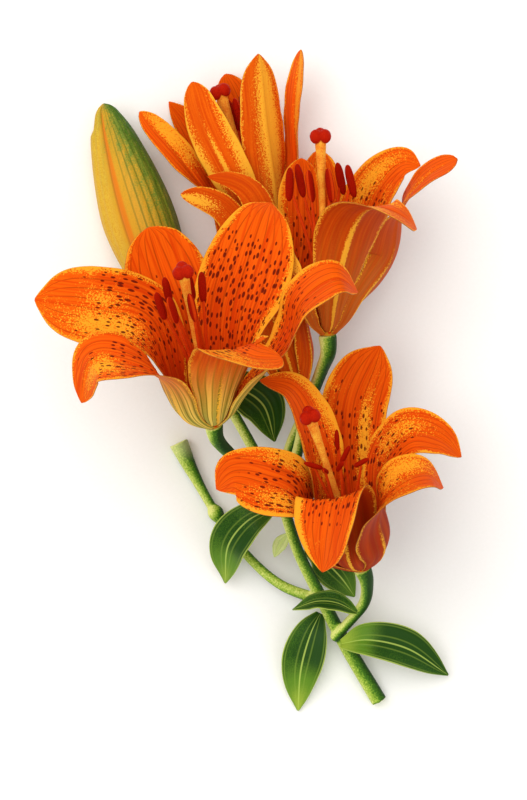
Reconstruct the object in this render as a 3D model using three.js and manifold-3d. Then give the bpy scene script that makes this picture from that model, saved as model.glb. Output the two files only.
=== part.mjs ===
// A cut flowering stem of orange lily, laid down on a table, in millimetres with +Z up.
// The flowers lie towards +Y and the cut end of the stem towards -Y. Five flowers, a bud and a bare
// stalk grow from one umbel, with the leaves below it. The origin is under the middle of the plant.
import * as THREE from 'three';
import { mergeVertices } from 'three/addons/utils/BufferGeometryUtils.js';
import Module from 'manifold-3d';

const wasm = await Module();
wasm.setup();

// Driving dimensions.
const TEPAL_THICKNESS = 0.8;
const LEAF_THICKNESS = 0.8;
const CLAW_RADIUS = [3.9, 4.9]; // inner and outer tepals start this far from the flower's axis
const CLAW_RISE = [1.7, 0.7]; // and this far above the pedicel's end
const BOWL_STEPS = [5, 13]; // the tepals form a closed bowl up to here
const BOWL_LAP = 2.2; // how far the outer tepals of the bowl stand behind the inner ones
const PEDICEL_END_RADIUS = 4.3;
const PEDICEL_RADIUS = 2.0;
const STEM_RADIUS = 2.7;
const OVARY_LENGTH = 22;
const OVARY_RADIUS = 1.5;
const STYLE_RADIUS = 1.2;
const STYLE_TOP_RADIUS = 2.2;
const STIGMA_LOBE_RADIUS = 2.3;
const FILAMENT_RING_RADIUS = 2.9;
const FILAMENT_RING_HEIGHT = 1.4;
const FILAMENT_SEAT = 2.45; // a filament's middle stands this far from the flower's axis
const FILAMENT_RADIUS = 0.7;
const ANTHER_LENGTH = 12.5;
const ANTHER_RADIUS = 1.7;
const SEAT_GAP = 0.3;
const WHORL_TURN = 60; // degrees from one tepal, or one stamen, to the next
const MARKS = 40; // even marks along a blade's middle line

// Share of the full half width at even steps from the root to the tip.
const ROUND_OUTLINE = [0.15, 0.36, 0.54, 0.7, 0.87, 0.97, 1, 0.96, 0.83, 0.57, 0.1];
const FULL_OUTLINE = [0.15, 0.4, 0.66, 0.86, 0.97, 1, 1, 0.96, 0.83, 0.57, 0.1];
const BLUNT_OUTLINE = [0.15, 0.37, 0.52, 0.68, 0.87, 0.97, 1, 1, 0.94, 0.74, 0.16];
const LATE_OUTLINE = [0.15, 0.4, 0.56, 0.66, 0.72, 0.74, 0.88, 0.97, 0.88, 0.56, 0.1];
const TUBE_OUTLINE = [0.3, 0.7, 0.92, 1, 0.98, 0.93, 0.88, 0.83, 0.7, 0.45, 0.1];
const NARROW_OUTLINE = [0.15, 0.36, 0.56, 0.78, 0.95, 1, 0.9, 0.72, 0.56, 0.46, 0.24];
const STRAP_OUTLINE = [0.15, 0.4, 0.6, 0.8, 0.95, 1, 1, 0.97, 0.9, 0.76, 0.34];
const EARLY_OUTLINE = [0.2, 0.62, 0.92, 1, 0.94, 0.85, 0.73, 0.6, 0.44, 0.26, 0.08];
const LEAF_OUTLINE = [0.22, 0.72, 0.97, 1.0, 0.82, 0.5, 0.05];
const TEPAL_STEPS = { along: 10, across: 4 };
const LEAF_STEPS = { along: 9, across: 4 };

const TEPAL_ORANGE = 0xe8561a;
const STAMEN_RED = 0xb3261a;
const PISTIL_GOLD = 0xd9902c;
const STEM_GREEN = 0x7d9a3a;
const LEAF_GREEN = 0x2f5a1e;
const BUD_GREEN = 0xc9a83a;

// Value at t, from 0 to 1, of a smooth curve through values at even steps.
function smooth(values, t) {
  const last = values.length - 1;
  const place = Math.min(Math.max(t, 0), 1) * last;
  const i = Math.min(Math.floor(place), last - 1);
  const u = place - i;
  const [b, c] = [values[i], values[i + 1]];
  const a = i > 0 ? values[i - 1] : 2 * b - c;
  const d = i + 2 <= last ? values[i + 2] : 2 * c - b;
  return b + 0.5 * u * (c - a + u * (2 * a - 5 * b + 4 * c - d + u * (3 * (b - c) + d - a)));
}

const radians = THREE.MathUtils.degToRad;
const vector = (list) => new THREE.Vector3(...list);
const sum = (start, ...terms) =>
  terms.reduce((total, [direction, amount]) => total.addScaledVector(direction, amount), start.clone());

// A closed blade on both sides of surface(t, s), with t from root to tip and s from -1 to 1 across.
function blade(surface, thickness, steps) {
  const small = 0.01;
  const front = [];
  const back = [];
  for (let i = 0; i <= steps.along; i++) {
    for (let j = 0; j <= steps.across; j++) {
      const t = i / steps.along;
      const s = (2 * j) / steps.across - 1;
      const point = surface(t, s);
      const alongBlade = surface(t + small, s).sub(surface(t - small, s));
      const acrossBlade = surface(t, s + small).sub(surface(t, s - small));
      const normal = alongBlade.cross(acrossBlade).normalize();
      front.push(point.clone().addScaledVector(normal, thickness / 2));
      back.push(point.clone().addScaledVector(normal, -thickness / 2));
    }
  }
  const columns = steps.across + 1;
  const at = (i, j) => i * columns + j;
  const under = front.length;
  const faces = [];
  for (let i = 0; i < steps.along; i++) {
    for (let j = 0; j < steps.across; j++) {
      const [a, b, c, d] = [at(i, j), at(i + 1, j), at(i + 1, j + 1), at(i, j + 1)];
      faces.push([a, b, c], [a, c, d]);
      faces.push([a + under, c + under, b + under], [a + under, d + under, c + under]);
    }
  }
  const rim = [];
  for (let i = 0; i < steps.along; i++) rim.push(at(i, 0));
  for (let j = 0; j < steps.across; j++) rim.push(at(steps.along, j));
  for (let i = steps.along; i > 0; i--) rim.push(at(i, steps.across));
  for (let j = steps.across; j > 0; j--) rim.push(at(0, j));
  rim.forEach((a, k) => {
    const b = rim[(k + 1) % rim.length];
    faces.push([b, a, a + under], [b, a + under, b + under]);
  });
  const geometry = new THREE.BufferGeometry().setFromPoints([...front, ...back]);
  return geometry.setIndex(faces.flat());
}

// A round body along a smooth curve through points, with its radius at even steps.
function tube(points, radii, sides, steps) {
  const curve = new THREE.CatmullRomCurve3(points, false, 'centripetal');
  const frames = curve.computeFrenetFrames(steps);
  const geometry = new THREE.CylinderGeometry(1, 1, 1, sides, steps);
  const position = geometry.getAttribute('position');
  for (let i = 0; i < position.count; i++) {
    const t = 0.5 - position.getY(i);
    const step = Math.round(t * steps);
    const radius = smooth(radii, t);
    const centre = curve.getPointAt(step / steps);
    const moved = sum(
      centre,
      [frames.normals[step], position.getX(i) * radius],
      [frames.binormals[step], position.getZ(i) * radius],
    );
    position.setXYZ(i, moved.x, moved.y, moved.z);
  }
  return geometry;
}

// A ball stretched along a direction, for anthers and stigma lobes.
function ball(centre, direction, radius, length, sides, rings) {
  const geometry = new THREE.SphereGeometry(radius, sides, rings);
  geometry.scale(1, length / (2 * radius), 1);
  const turn = new THREE.Quaternion().setFromUnitVectors(new THREE.Vector3(0, 1, 0), direction);
  return geometry.applyQuaternion(turn).translate(centre.x, centre.y, centre.z);
}

// A geometry as a solid that can be joined or cut.
function solid(geometry) {
  const bare = geometry.clone();
  bare.deleteAttribute('normal');
  bare.deleteAttribute('uv');
  const merged = mergeVertices(bare, 1e-4);
  const made = new wasm.Manifold(
    new wasm.Mesh({
      numProp: 3,
      vertProperties: new Float32Array(merged.getAttribute('position').array),
      triVerts: new Uint32Array(merged.index.array),
    }),
  );
  if (made.volume() > 0) return made;
  const flipped = Array.from(merged.index.array).reverse();
  return new wasm.Manifold(
    new wasm.Mesh({
      numProp: 3,
      vertProperties: new Float32Array(merged.getAttribute('position').array),
      triVerts: new Uint32Array(flipped),
    }),
  );
}

const fuse = (geometries) => geometries.map(solid).reduce((joined, next) => joined.add(next));

function geometryOf(made) {
  const mesh = made.getMesh();
  const geometry = new THREE.BufferGeometry();
  geometry.setAttribute('position', new THREE.BufferAttribute(mesh.vertProperties, 3));
  return geometry.setIndex(new THREE.BufferAttribute(mesh.triVerts, 1));
}

const plant = new THREE.Group();

function add(name, geometry, color, roughness = 0.55) {
  const material = new THREE.MeshStandardMaterial({ color, roughness, metalness: 0 });
  const mesh = new THREE.Mesh(geometry, material);
  mesh.name = name;
  plant.add(mesh);
}

// A flower's own axes: up along the axis, front towards +Z, right towards +X.
function flowerAxes(flower) {
  const up = vector(flower.axis).normalize();
  const front = new THREE.Vector3(0, 0, 1);
  front.addScaledVector(up, -front.dot(up)).normalize();
  const right = up.clone().cross(front);
  const out = (turn) => sum(new THREE.Vector3(), [front, Math.cos(turn)], [right, Math.sin(turn)]);
  return { base: vector(flower.base), bowl: flower.bowl, up, front, right, out };
}

// The middle line of a blade through points, with the way ahead and the side way carried along it.
function middleLine(points, firstSide) {
  const places = new THREE.CatmullRomCurve3(points, false, 'centripetal').getSpacedPoints(MARKS);
  const ahead = places.map((_, k) => {
    const [before, after] = [places[Math.max(k - 1, 0)], places[Math.min(k + 1, MARKS)]];
    return after.clone().sub(before).normalize();
  });
  const sides = [];
  let side = firstSide;
  for (const way of ahead) {
    side = side.clone().addScaledVector(way, -side.dot(way)).normalize();
    sides.push(side);
  }
  return (t) => {
    const k = Math.min(Math.max(Math.floor(t * MARKS), 0), MARKS - 1);
    const between = (list) => list[k].clone().lerp(list[k + 1], t * MARKS - k);
    return { point: between(places), ahead: between(ahead).normalize(), side: between(sides).normalize() };
  };
}

// A blade round its middle line: roll is the half angle of its cross section's arc, positive where
// the margins rise towards the inner face, and twist turns the blade about its middle line.
function bladeSurface(line, shape) {
  return (t, s) => {
    const { point, ahead, side } = line(t);
    const turned = side.applyAxisAngle(ahead, radians(smooth(shape.twist, t)));
    const normal = ahead.clone().cross(turned);
    const half = (shape.width / 2) * smooth(shape.outline, t);
    const roll = radians(smooth(shape.roll, t)) || 1e-6;
    const wave = shape.wave * s * s * Math.sin(t * 13 + s * 1.3 + shape.width) * Math.sin(Math.PI * t);
    return sum(
      point,
      [turned, (half * Math.sin(roll * s)) / roll],
      [normal, (half * (1 - Math.cos(roll * s))) / roll + wave],
    );
  };
}

// Tepals stand in two whorls of three, inner and outer by turns.
function tepalSurface(axes, turn, whorl, shape) {
  const out = axes.out(radians(turn));
  const claw = sum(axes.base, [out, CLAW_RADIUS[whorl]], [axes.up, CLAW_RISE[whorl]]);
  const spread = axes.bowl + whorl * BOWL_LAP - CLAW_RADIUS[whorl];
  const low = sum(claw, [out, 0.45 * spread], [axes.up, BOWL_STEPS[0] - CLAW_RISE[whorl]]);
  const high = sum(claw, [out, spread], [axes.up, BOWL_STEPS[1] - CLAW_RISE[whorl]]);
  const line = middleLine([claw, low, high, ...shape.route.map(vector)], axes.out(radians(turn + 90)));
  return bladeSurface(line, { outline: ROUND_OUTLINE, ...shape });
}

// The six filaments stand on one thin ring round the ovary, and each carries its anther by the middle.
function stamens(axes, flower) {
  const { height, places, tilts, size = 1 } = flower.stamens;
  const seat = sum(axes.base, [axes.up, SEAT_GAP]);
  const ringTop = sum(seat, [axes.up, FILAMENT_RING_HEIGHT]);
  const parts = [tube([seat, ringTop], [FILAMENT_RING_RADIUS, FILAMENT_RING_RADIUS], 12, 1)];
  places.forEach(([right, front], k) => {
    const out = axes.out(radians(flower.spin + k * WHORL_TURN));
    const foot = sum(seat, [axes.up, FILAMENT_RING_HEIGHT / 2], [out, FILAMENT_SEAT]);
    const top = sum(seat, [axes.up, height], [axes.right, right], [axes.front, front]);
    const third = sum(foot, [axes.up, height * 0.36]).lerp(top, 0.12);
    const radii = [0.78, 1, 0.8].map((share) => share * FILAMENT_RADIUS);
    parts.push(tube([foot, third, top], radii, 4, 3));
    const away = sum(new THREE.Vector3(), [axes.right, right], [axes.front, front]).normalize();
    const tilt = radians(tilts[k]);
    const along = sum(new THREE.Vector3(), [axes.up, Math.cos(tilt)], [away, Math.sin(tilt)]).normalize();
    parts.push(ball(top, along, size * ANTHER_RADIUS, size * ANTHER_LENGTH, 6, 4));
  });
  return fuse(parts);
}

// Ovary, style and the three-lobed stigma, standing on the filament ring.
function pistil(axes, flower) {
  const foot = SEAT_GAP * 2 + FILAMENT_RING_HEIGHT;
  const { length, bend: [right, front] } = flower.pistil;
  const at = (share) =>
    sum(
      axes.base,
      [axes.up, foot + share * length],
      [axes.right, right * share * share],
      [axes.front, front * share * share],
    );
  const neck = OVARY_LENGTH / length;
  const ovary = tube(
    [at(0), at(neck / 2), at(neck)],
    [0.8, 1, 1, 0.9, 0.6].map((share) => share * OVARY_RADIUS),
    7,
    4,
  );
  const style = tube(
    [at(neck * 0.9), at(neck), at(0.65), at(1)],
    [STYLE_RADIUS * 0.8, STYLE_RADIUS, STYLE_RADIUS * 1.1, STYLE_TOP_RADIUS],
    6,
    5,
  );
  const lobes = [0, 120, 240].map((turn) => {
    const out = axes.out(radians(turn));
    return ball(sum(at(1), [out, STIGMA_LOBE_RADIUS * 0.8]), axes.up, STIGMA_LOBE_RADIUS, 4, 6, 4);
  });
  return fuse([ovary, style, ...lobes]);
}

const tepal = (name, width, route, rest = {}) => ({
  name,
  width,
  route,
  roll: [50, 40, 22, 10],
  twist: [0, 0],
  wave: 0.6,
  ...rest,
});

// Each flower: where its pedicel ends, which way its axis points, the turn of its first tepal, and
// its tepals from the front round to the right, back and left, each with its midrib's route.
const FLOWERS = [
  {
    name: 'left_flower',
    base: [-12.5, -16, 50],
    axis: [-0.17, 0.79, 0.59],
    spin: 12,
    firstWhorl: 0,
    bowl: 11,
    tepals: [
      tepal('front', 27.2,
        [[-9.5, 0, 75.3], [-7.5, 7.5, 83], [-6, 11, 89], [-3, 10.2, 94.5], [3, 8.3, 96], [12, 7.8, 92]],
        { outline: BLUNT_OUTLINE }),
      tepal('right', 22.8, [[14, 14, 72.8], [19.5, 28.5, 80], [31.5, 36.5, 82], [39, 31.5, 75]],
        { twist: [0, 0, 20, 40] }),
      tepal('big', 32, [[-5, 24.5, 53.5], [1, 44, 54], [5.5, 58.5, 51], [8, 64, 45]],
        { roll: [50, 38, 12, 5], twist: [0, 11, 38, 38] }),
      tepal('upper', 31, [[-24.5, 22.5, 49], [-31, 40.5, 50], [-36, 55, 54]],
        { outline: BLUNT_OUTLINE, roll: [50, 32, 15, 6] }),
      tepal('left', 30, [[-37, 21, 65.5], [-56.5, 26.5, 70], [-76.5, 29, 70]],
        { outline: BLUNT_OUTLINE, twist: [0, -5, -35, -40] }),
      tepal('low_left', 23, [[-31, 1, 83], [-43, 6, 89], [-55, 6.5, 88], [-59.5, -8, 80]],
        { outline: LATE_OUTLINE, twist: [0, 0, -42, -90] }),
    ],
    stamens: { height: 56, places: [[1.5, 5], [6.5, -6], [2.5, -8], [-6, -8], [-9.5, 0], [-5.5, 4]],
      tilts: [0, 10, 0, 0, 5, 5] },
    pistil: { length: 68, bend: [1, 1] },
  },
  {
    name: 'top_flower',
    base: [13, 38.5, 12],
    axis: [-0.35, 0.93, 0.06],
    spin: -20,
    firstWhorl: 1,
    bowl: 5,
    tepals: [
      tepal('front', 20.5, [[-3, 74.5, 28], [-12.5, 92.5, 29], [-19.5, 108, 27]],
        { outline: BLUNT_OUTLINE }),
      tepal('tall', 21, [[8.5, 73.5, 20.5], [5.5, 96, 23.5], [3.5, 117, 24]], { outline: BLUNT_OUTLINE }),
      tepal('right', 13, [[17.3, 73, 15], [16.5, 98, 17.5], [19, 120, 18]],
        { outline: STRAP_OUTLINE, twist: [0, 6, 14, 16] }),
      tepal('back', 18, [[4, 82, 4], [-2, 100.5, 4], [-6, 111, 5]]),
      tepal('back_left', 15, [[-11.5, 76.5, 0.62], [-21.5, 92.5, 1.4], [-29, 101.5, 3.5]],
        { roll: [50, 30, 5, 5], twist: [0, -20, -40, -40] }),
      tepal('left', 17, [[-15.5, 69, 14.3], [-27.5, 84.5, 17.3], [-39.5, 97.5, 18]],
        { outline: LATE_OUTLINE, twist: [0, 5, -60, -80] }),
    ],
    stamens: { height: 60, places: [[-2.5, 4.5], [5, 3], [7.5, -1], [3, -5], [-3, -5], [-6, 0]],
      tilts: [0, 5, 5, 0, 0, 5] },
    pistil: { length: 70, bend: [0, 2] },
  },
  {
    name: 'right_flower',
    base: [28.5, 16.5, 36],
    axis: [-0.05, 0.97, 0.24],
    spin: 15,
    firstWhorl: 0,
    bowl: 10.5,
    tepals: [
      tepal('front', 25.2,
        [[34.3, 45, 58], [37.8, 55.5, 67], [42, 61, 75], [47, 61.8, 81],
         [52.5, 60, 82.5], [57, 57, 80.5], [60, 54, 77]],
        { twist: [0, 0, 0, 10, 35], wave: 0.3 }),
      tepal('right', 24.2, [[52.5, 44, 39.3], [55.3, 60.5, 47], [64, 73.3, 53.5], [75, 79.5, 56]],
        { outline: NARROW_OUTLINE, twist: [0, -22, -5, 28] }),
      tepal('right_back', 24, [[40, 52.5, 30], [47, 70.5, 34], [55.5, 78.5, 38], [62, 77.5, 39]]),
      tepal('back', 20, [[30.5, 58, 18.5], [30.5, 74.5, 18], [28.5, 86.5, 21]]),
      tepal('left', 20, [[17, 52.5, 34], [14.5, 69, 34], [16.5, 80, 36]]),
      tepal('low_left', 15, [[13.5, 39.5, 47.5], [9.5, 49, 44], [5, 53, 42]], { wave: 0.2 }),
    ],
    stamens: { height: 56, places: [[3.5, 5], [12, 0], [7.5, -5], [-7, -5], [-11, 0], [-3.5, 5]],
      tilts: [0, 5, 0, 0, 0, 0] },
    pistil: { length: 72, bend: [1, 2] },
  },
  {
    name: 'low_flower',
    base: [41, -67.5, 36],
    axis: [-0.26, 0.745, 0.615],
    spin: -18,
    firstWhorl: 0,
    bowl: 11.5,
    tepals: [
      tepal('front', 28.5, [[32, -45, 69], [30, -42.5, 75], [27.5, -54, 78.5], [26.5, -68.5, 74]],
        { wave: 0.3 }),
      tepal('low_right', 24,
        [[46.3, -50.9, 62.4], [47.4, -44.6, 67.5], [50.6, -39.2, 71],
         [57.8, -34.2, 72], [64.2, -33.5, 70], [69.7, -38.5, 65]],
        { outline: FULL_OUTLINE, twist: [0, 5, 40, 60] }),
      tepal('right', 20.5, [[49.5, -29.5, 49.3], [58, -19, 55], [69, -21, 53], [76.5, -27.5, 50]],
        { twist: [0, 0, 10, 10] }),
      tepal('upper', 25, [[37.5, -28.5, 36], [39, -7, 36], [47.5, 12.5, 37]], { outline: BLUNT_OUTLINE }),
      tepal('upper_left', 20, [[26, -28.5, 49.5], [22, -12.5, 51], [15.5, -2.5, 52], [4, 0, 52]]),
      tepal('left', 27, [[16.5, -41, 61], [7, -36.5, 64], [-5, -34, 62], [-11.5, -39, 57]],
        { twist: [0, 0, -25, -70, -85], wave: 0.3 }),
    ],
    stamens: { height: 51, places: [[4.4, 5], [12, 6.9], [7.5, -0.5], [6.5, -10], [-4.5, -0.4], [-1.2, 4.8]],
      tilts: [40, 60, 40, 30, 50, 40], size: 0.62 },
    pistil: { length: 71, bend: [0, -1] },
  },
  {
    name: 'hidden_flower',
    base: [18, -5, 26.5],
    axis: [-0.28, 0.96, 0],
    spin: 0,
    firstWhorl: 0,
    bowl: 7,
    tepals: [
      tepal('front', 20, [[4.8, 38, 35.2], [-1.5, 60, 36], [-9.5, 75.5, 34.5]],
        { outline: LATE_OUTLINE, roll: [50, 50, 40, 15] }),
      tepal('front_right', 12, [[16, 36, 29.5], [10, 51, 28.5], [5.5, 58, 28]],
        { outline: EARLY_OUTLINE, roll: [50, 35, 20, 10] }),
      tepal('back_right', 11, [[12, 38, 23.5], [6, 50.5, 23.5], [0, 58.5, 24]],
        { outline: TUBE_OUTLINE, roll: [50, 50, 45, 20] }),
      tepal('back', 10.7, [[5, 38, 18.5], [-3, 52, 19.7], [-9, 60, 20.5]],
        { outline: TUBE_OUTLINE, roll: [50, 35, 20, 10] }),
      tepal('left', 11, [[-2.5, 38, 23.7], [-10.5, 54, 23.3], [-16, 63, 22.3]],
        { outline: TUBE_OUTLINE, roll: [50, 50, 45, 20] }),
      tepal('front_left', 12.2, [[-8, 39, 27], [-11.5, 54, 27.9], [-16.5, 62.3, 28.2], [-25, 67.8, 27.5]],
        { outline: LATE_OUTLINE, roll: [50, 35, 20, 10], twist: [0, 0, 10, 20] }),
    ],
    stamens: { height: 46, places: [[0, 3.6], [3.1, 1.8], [3.1, -1.8], [0, -3.6], [-3.1, -1.8], [-3.1, 1.8]],
      tilts: [0, 0, 0, 0, 0, 0] },
    pistil: { length: 54, bend: [0, 0] },
  },
];

for (const flower of FLOWERS) {
  const axes = flowerAxes(flower);
  flower.tepals.forEach((shape, k) => {
    const whorl = (k + flower.firstWhorl) % 2;
    const surface = tepalSurface(axes, flower.spin + k * WHORL_TURN, whorl, shape);
    const name = `${flower.name}_tepal_${shape.name}`;
    add(name, blade(surface, TEPAL_THICKNESS, TEPAL_STEPS), TEPAL_ORANGE);
  });
  add(`${flower.name}_stamens`, geometryOf(stamens(axes, flower)), STAMEN_RED);
  add(`${flower.name}_pistil`, geometryOf(pistil(axes, flower)), PISTIL_GOLD);
}

// The stem and everything that branches from it grow as one piece.
const UMBEL = [12.5, -45, 20];
const stemLine = [[47.5, -116.5, 2.66], [34.5, -94.5, 8], [27, -80, 12], [18, -62, 17], UMBEL].map(vector);
const pedicels = {
  left_flower: [UMBEL, [6, -38, 26], [-5, -28, 37]],
  top_flower: [UMBEL, [16, -30, 14], [20, 0, 9], [17, 22, 9]],
  right_flower: [UMBEL, [14, -27, 19], [21, -10, 19], [26.5, 4, 27]],
  low_flower: [[31, -93.5, 9], [36, -88, 14], [42, -80, 23]],
  hidden_flower: [UMBEL, [16, -32, 23], [19.5, -18, 26]],
};
const BUD = { base: [-28, 25.5, 12.9], tip: [-52.7, 100.6, 12.5], radius: 12.8 };
const budPedicel = [UMBEL, [3, -27, 17], [-9, -6, 14], [-20, 10, 13]];
const BARE_STALK = [
  [27, -80, 12], [11.5, -74, 9], [-1, -63, 6], [-12, -48, 4.5], [-21, -32, 4], [-25.5, -22.5, 4],
];

function stem() {
  const parts = [tube(stemLine, [STEM_RADIUS * 1.05, STEM_RADIUS, STEM_RADIUS, STEM_RADIUS], 10, 14)];
  for (const flower of FLOWERS) {
    const axes = flowerAxes(flower);
    const route = [
      ...pedicels[flower.name].map(vector),
      sum(axes.base, [axes.up, -6]),
      axes.base,
    ];
    const slender = PEDICEL_RADIUS;
    const radii = [slender, slender, slender, 1.15 * slender, PEDICEL_END_RADIUS];
    parts.push(tube(route, radii, 7, 10));
  }
  const budBase = vector(BUD.base);
  const budAxis = vector(BUD.tip).sub(budBase).normalize();
  parts.push(
    tube([...budPedicel.map(vector), sum(budBase, [budAxis, -5]), sum(budBase, [budAxis, -SEAT_GAP])],
      [PEDICEL_RADIUS, PEDICEL_RADIUS, PEDICEL_RADIUS, 1.1 * PEDICEL_RADIUS, PEDICEL_END_RADIUS], 7, 10),
  );
  parts.push(tube(BARE_STALK.map(vector), [2.2, 1.9, 1.7, 1.7, 2, 3.6], 7, 12));
  return fuse(parts);
}
add('stem', geometryOf(stem()), STEM_GREEN);

// The bud: three closed outer tepals, each with a raised rib between shallow grooves.
function bud() {
  const base = vector(BUD.base);
  const axis = vector(BUD.tip).sub(base);
  const length = axis.length();
  axis.normalize();
  const outline = [0.3, 0.68, 0.92, 1.0, 0.98, 0.88, 0.73, 0.53, 0.2];
  const geometry = new THREE.CylinderGeometry(1, 1, 1, 21, 12);
  const position = geometry.getAttribute('position');
  const front = new THREE.Vector3(0, 0, 1);
  front.addScaledVector(axis, -front.dot(axis)).normalize();
  const right = axis.clone().cross(front);
  for (let i = 0; i < position.count; i++) {
    const t = 0.5 - position.getY(i);
    const turn = Math.atan2(position.getX(i), position.getZ(i));
    const away = Math.hypot(position.getX(i), position.getZ(i));
    const ribs = 1 + 0.04 * Math.cos(3 * turn - 0.6);
    const radius = away * BUD.radius * smooth(outline, t) * ribs;
    const moved = sum(
      base,
      [axis, t * length],
      [front, Math.cos(turn) * radius],
      [right, Math.sin(turn) * radius],
    );
    position.setXYZ(i, moved.x, moved.y, moved.z);
  }
  return solid(geometry);
}
add('bud', geometryOf(bud()), BUD_GREEN);

// Leaves: route is the midrib, face the way the upper side looks at the root and at the tip.
const LEAVES = [
  {
    name: 'leaf_big_left', width: 15.5,
    route: [[9.3, -46, 22.9], [0, -50.5, 23.5], [-7, -59, 18], [-8.5, -73.5, 4]],
    face: [[0, 0.2, 1], [-0.4, 0, 1]], roll: [20, 25, 15],
  },
  {
    name: 'leaf_upper', width: 17,
    route: [[-8.8, -5.6, 16.7], [-3, -3.5, 20], [5, -8.5, 21], [9.5, -22, 17]],
    face: [[0, 0.1, 1], [0.2, 0.2, 1]], roll: [20, 20, 12],
  },
  {
    name: 'leaf_behind', width: 15,
    route: [[20.5, -61.5, 12.3], [25, -63.5, 9], [33, -71, 7], [38.5, -78.5, 2.5]],
    face: [[0.2, 0.3, 1], [0.2, 0.2, 1]], roll: [20, 20, 12],
  },
  {
    name: 'leaf_small', width: 9,
    route: [[39.2, -84, 22.6], [32, -80.5, 23.5], [25, -80, 21.3], [16, -83, 17.3]],
    face: [[0, 0.6, 0.8], [0, 0.7, 0.8]], roll: [30, 30, 20],
  },
  {
    name: 'leaf_down', width: 15.5,
    route: [[26, -84.5, 6.5], [22.5, -92, 7.5], [19, -105, 6], [18, -120, 1.2]],
    face: [[0, 0, 1], [-0.1, -0.1, 1]], roll: [20, 18, 10],
  },
  {
    name: 'leaf_right', width: 15,
    route: [[33.5, -95.5, 12], [43, -94, 17], [57, -97, 14], [72.5, -107, 3]],
    face: [[0, 0.3, 1], [0.1, 0.1, 1]], roll: [30, 30, 10],
  },
  {
    name: 'bract_small', width: 5,
    route: [[12.6, -56.4, 17.3], [10.8, -60, 16], [9.3, -64, 15]],
    face: [[0, 0, 1], [0, 0, 1]], roll: [20, 18, 10],
  },
];

function leafSurface(leaf) {
  const curve = new THREE.CatmullRomCurve3(leaf.route.map(vector), false, 'centripetal');
  const [rootFace, tipFace] = leaf.face.map(vector);
  return (t, s) => {
    const inside = Math.min(Math.max(t, 0), 1);
    const ahead = curve.getTangentAt(inside);
    const point = curve.getPointAt(inside).addScaledVector(ahead, (t - inside) * curve.getLength());
    const normal = rootFace.clone().lerp(tipFace, inside);
    normal.addScaledVector(ahead, -normal.dot(ahead)).normalize();
    const side = normal.clone().cross(ahead);
    const half = (leaf.width / 2) * smooth(LEAF_OUTLINE, t);
    const roll = radians(smooth(leaf.roll, t));
    return sum(
      point,
      [side, (half * Math.sin(roll * s)) / roll],
      [normal, (half * (1 - Math.cos(roll * s))) / roll],
    );
  };
}

for (const leaf of LEAVES) add(leaf.name, blade(leafSurface(leaf), LEAF_THICKNESS, LEAF_STEPS), LEAF_GREEN);

export default plant;
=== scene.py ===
import math
import bmesh
import bpy
import numpy as np
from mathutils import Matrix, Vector


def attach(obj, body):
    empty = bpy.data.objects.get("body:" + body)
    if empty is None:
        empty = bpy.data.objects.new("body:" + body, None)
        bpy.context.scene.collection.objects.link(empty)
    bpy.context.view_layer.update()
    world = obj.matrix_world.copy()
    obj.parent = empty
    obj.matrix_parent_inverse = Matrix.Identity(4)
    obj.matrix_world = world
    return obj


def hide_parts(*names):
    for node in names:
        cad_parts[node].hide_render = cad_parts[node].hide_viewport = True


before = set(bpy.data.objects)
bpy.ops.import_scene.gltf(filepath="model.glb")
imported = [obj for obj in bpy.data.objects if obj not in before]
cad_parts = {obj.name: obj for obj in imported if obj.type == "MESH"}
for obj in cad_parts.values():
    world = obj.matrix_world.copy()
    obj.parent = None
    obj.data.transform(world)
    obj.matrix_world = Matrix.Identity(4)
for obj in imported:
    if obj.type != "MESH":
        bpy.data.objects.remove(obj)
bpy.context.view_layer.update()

# The table. The cut stem lies on a plain pale sheet and is looked at from straight above, as a
# botanical plate shows it. A broad soft light comes from the upper left and the rest is sky.
MM = 0.001
PLATE_MIDDLE = (5.4 * MM, -7.0 * MM)
VIEW_HEIGHT = 4.045
LENS = 500
FRAME_LONG_SIDE = 36
SKY_BRIGHTNESS = 0.68
SHEET_REACH = 3
SHEET_DROP = 0.2 * MM


def placed(name, data):
    """Puts a mesh, a curve, a lamp or a camera into the scene under its name."""
    made = bpy.data.objects.new(name, data)
    bpy.context.scene.collection.objects.link(made)
    return made


bpy.context.scene.view_settings.view_transform = "Standard"
camera_data = bpy.data.cameras.new("camera")
camera_data.lens = LENS
camera_data.sensor_width = FRAME_LONG_SIDE
camera = placed("camera", camera_data)
camera.location = (*PLATE_MIDDLE, VIEW_HEIGHT)
bpy.context.scene.camera = camera


def soft_light(name, place, size, power, colour=(1, 1, 1)):
    """A square lamp that looks at the middle of the table."""
    lamp = bpy.data.lights.new(name, "AREA")
    lamp.size = size
    lamp.energy = power
    lamp.color = colour
    light = placed(name, lamp)
    light.location = place
    light.rotation_euler = (-Vector(place)).to_track_quat("-Z", "Y").to_euler()


soft_light("key", (-0.55, 0.6, 2.0), size=2.0, power=36, colour=(1.0, 0.985, 0.95))
soft_light("fill", (1.2, -0.6, 1.8), size=1.6, power=6)
world = bpy.data.worlds.new("studio")
bpy.context.scene.world = world
world.use_nodes = True
sky = world.node_tree.nodes["Background"].inputs
sky["Color"].default_value = (1, 1, 1, 1)
sky["Strength"].default_value = SKY_BRIGHTNESS


def hue(code):
    """A colour as painters' charts write it, in the linear light that the shader wants."""
    share = [int(code[k : k + 2], 16) / 255 for k in (0, 2, 4)]
    return (*(c / 12.92 if c < 0.04045 else ((c + 0.055) / 1.055) ** 2.4 for c in share), 1)


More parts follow.
